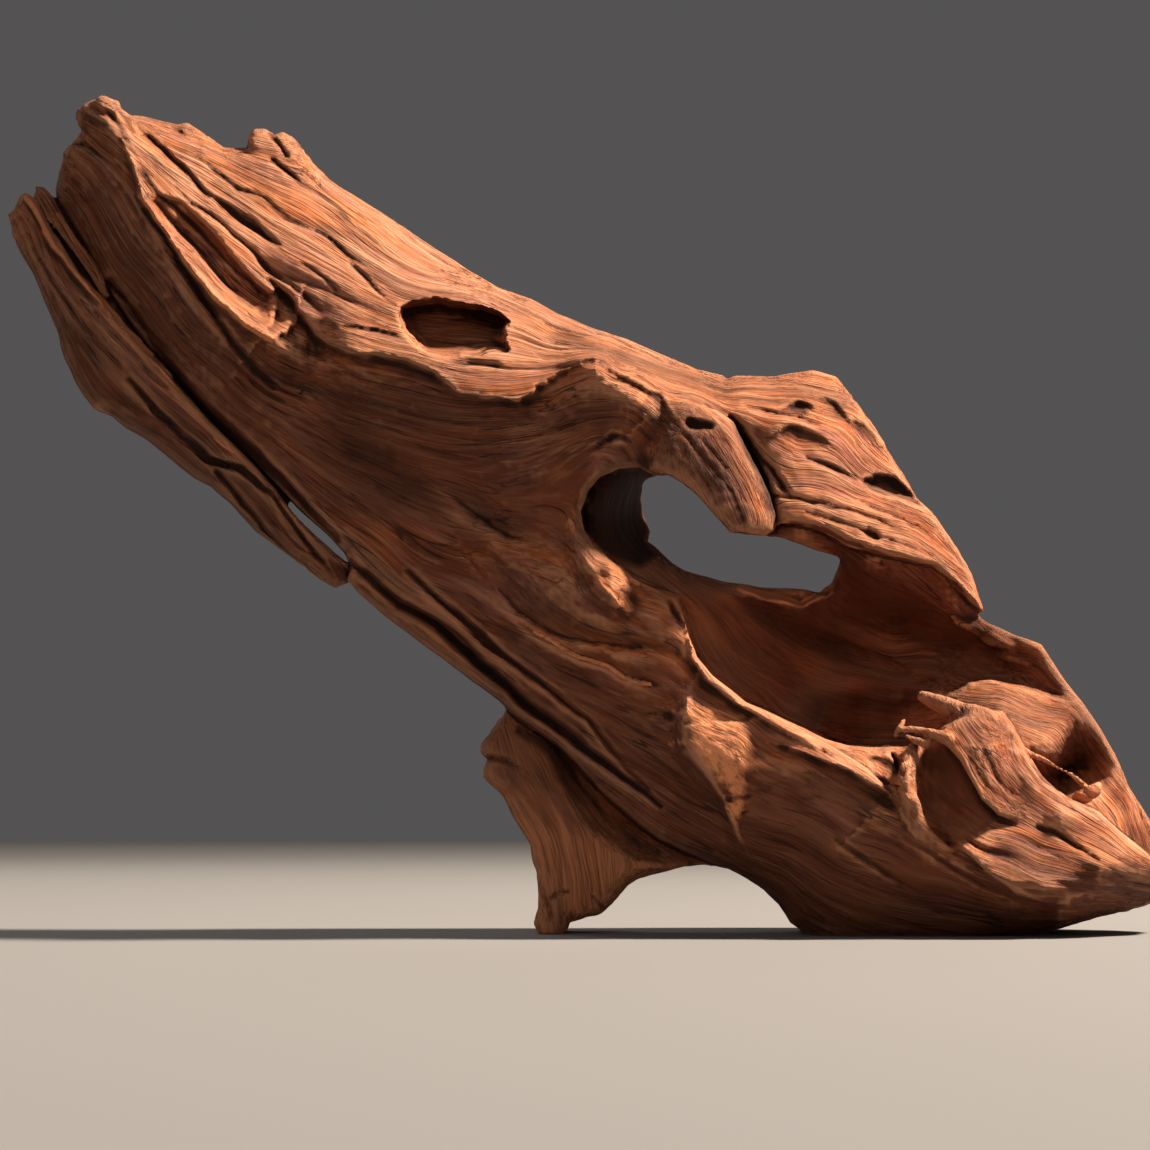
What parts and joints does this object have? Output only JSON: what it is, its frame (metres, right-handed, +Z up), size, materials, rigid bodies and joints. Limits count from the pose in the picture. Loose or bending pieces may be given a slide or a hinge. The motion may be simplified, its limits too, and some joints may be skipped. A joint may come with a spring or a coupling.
{
  "type": "driftwood piece",
  "caption": "Leaning piece of weathered root wood with an arm, a see-through hole, a hollow bowl at the base and a short prop foot; rests freely on a surface.",
  "frame": {"origin": "centre of the footprint of the whole piece, on the surface it rests on", "axes": "+X along the length, from the raised arm to the low pointed end; +Y from the face with the bowl and hole rim to the back; +Z up"},
  "size_m": [0.6298, 0.1928, 0.4512],
  "materials": {
    "wood": "bare weathered red-brown root wood, matt, fibrous along the grain"
  },
  "bodies": {
    "root": {"trunk": "wood", "upper_limb": "wood", "root_base": "wood", "foot": "wood", "split_strip": "wood"}
  },
  "joints": []
}
